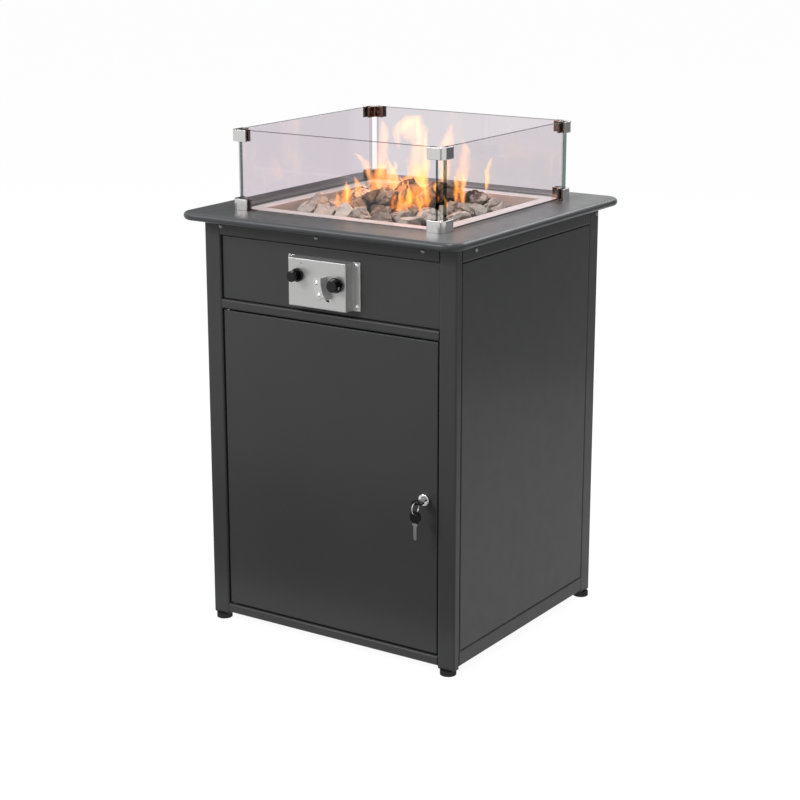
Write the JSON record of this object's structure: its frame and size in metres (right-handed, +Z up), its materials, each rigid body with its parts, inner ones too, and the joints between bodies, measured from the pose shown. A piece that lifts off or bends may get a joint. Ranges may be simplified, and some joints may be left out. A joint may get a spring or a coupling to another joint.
{
  "type": "gas fire pit table",
  "caption": "Square metal garden table with a recessed gas burner tray under stones, a glass wind guard, a control box with knob and igniter, and a locked bottle cabinet below.",
  "frame": {"origin": "on the floor under the middle of the square tabletop", "axes": "+X to the right along the front, -Y out of the front with the door and the control box, +Z up"},
  "size_m": [0.5, 0.5, 0.7855],
  "materials": {
    "anthracite_coat": "satin powder coat",
    "tabletop_coat": "semi-gloss coat",
    "stainless": "brushed",
    "chrome": "polished",
    "gloss_black": "glossy",
    "black_plastic": "matt",
    "brass": "machined",
    "ceramic": "glazed",
    "clear_liner": "soft",
    "tinted_glass": "clear, faint tint",
    "stone": "rough"
  },
  "bodies": {
    "frame": {"front_post_left": "anthracite_coat", "front_post_right": "anthracite_coat", "rear_post_left": "anthracite_coat", "rear_post_right": "anthracite_coat", "front_rail_top": "anthracite_coat", "front_rail_middle": "anthracite_coat", "front_rail_bottom": "anthracite_coat", "rear_rail_top": "anthracite_coat", "rear_rail_bottom": "anthracite_coat", "side_rails_top": "anthracite_coat", "side_rails_bottom": "anthracite_coat", "table_brackets": "anthracite_coat", "bracket_screws": "stainless", "post_end_caps": "black_plastic", "side_panel_right": "anthracite_coat", "side_panel_left": "anthracite_coat", "rear_panel": "anthracite_coat", "control_panel": "anthracite_coat", "base_plate": "anthracite_coat", "control_box": "stainless", "control_box_screws": "stainless", "igniter_body": "gloss_black", "igniter_nut": "gloss_black", "quadrant_bracket": "stainless", "quadrant_rivets": "stainless", "valve_body": "brass", "burner": "stainless", "mixing_tube": "stainless", "gas_tube": "stainless", "burner_tray": "stainless", "spark_electrode": "ceramic", "tabletop": "tabletop_coat", "stone_bed": "stone", "lower_stones": "stone", "mound_stones": "stone", "door_bushes": "black_plastic"},
    "foot_front_left": {"foot_front_left": "black_plastic"},
    "foot_front_right": {"foot_front_right": "black_plastic"},
    "foot_rear_left": {"foot_rear_left": "black_plastic"},
    "foot_rear_right": {"foot_rear_right": "black_plastic"},
    "igniter_button": {"igniter_button": "gloss_black"},
    "valve_spindle": {"valve_spindle": "stainless"},
    "knob": {"knob": "black_plastic", "knob_set_screw": "stainless"},
    "door": {"door_panel": "anthracite_coat", "door_pins": "stainless", "lock_barrel": "chrome", "lock_nut": "stainless"},
    "lock": {"lock_core": "chrome", "lock_cam": "stainless", "lock_key": "black_plastic"},
    "key_ring": {"key_ring": "chrome"},
    "spare_key": {"spare_key": "black_plastic"},
    "wind_guard": {"glass_front": "tinted_glass", "glass_right": "tinted_glass", "glass_rear": "tinted_glass", "glass_left": "tinted_glass", "corner_clips": "stainless", "clip_liners": "clear_liner", "clip_screws": "stainless"}
  },
  "joints": [
    {"name": "foot_front_left_height", "type": "slide", "parent": "frame", "child": "foot_front_left", "axis": [0, 0, -1], "range_m": [0, 0.012]},
    {"name": "foot_front_right_height", "type": "slide", "parent": "frame", "child": "foot_front_right", "axis": [0, 0, -1], "range_m": [0, 0.012]},
    {"name": "foot_rear_left_height", "type": "slide", "parent": "frame", "child": "foot_rear_left", "axis": [0, 0, -1], "range_m": [0, 0.012]},
    {"name": "foot_rear_right_height", "type": "slide", "parent": "frame", "child": "foot_rear_right", "axis": [0, 0, -1], "range_m": [0, 0.012]},
    {"name": "door_swing", "type": "hinge", "parent": "frame", "child": "door", "pos_m": [-0.1895, -0.2045, 0.2695], "axis": [0, 0, -1], "range_deg": [0, 110]},
    {"name": "lock_turn", "type": "hinge", "parent": "door", "child": "lock", "pos_m": [0.174, -0.2095, 0.2695], "axis": [0, -1, 0], "range_deg": [0, 90]},
    {"name": "key_ring_swing", "type": "hinge", "parent": "lock", "child": "key_ring", "pos_m": [0.174, -0.2357, 0.2695], "axis": [1, 0, 0], "range_deg": [-20, 8]},
    {"name": "spare_key_swing", "type": "hinge", "parent": "key_ring", "child": "spare_key", "pos_m": [0.174, -0.2357, 0.25395], "axis": [0, 1, 0], "range_deg": [-30, 30]},
    {"name": "igniter_push", "type": "slide", "parent": "frame", "child": "igniter_button", "axis": [0, 1, 0], "range_m": [0, 0.006], "stiffness_N_per_m": 1500},
    {"name": "valve_turn", "type": "hinge", "parent": "frame", "child": "valve_spindle", "pos_m": [0.032, -0.2275, 0.578], "axis": [0, -1, 0], "range_deg": [0, 180]},
    {"name": "knob_push", "type": "slide", "parent": "valve_spindle", "child": "knob", "axis": [0, 1, 0], "range_m": [0, 0.0035], "stiffness_N_per_m": 1200},
    {"name": "wind_guard_lift", "type": "slide", "parent": "frame", "child": "wind_guard", "axis": [0, 0, 1], "range_m": [0, 0.13]}
  ]
}
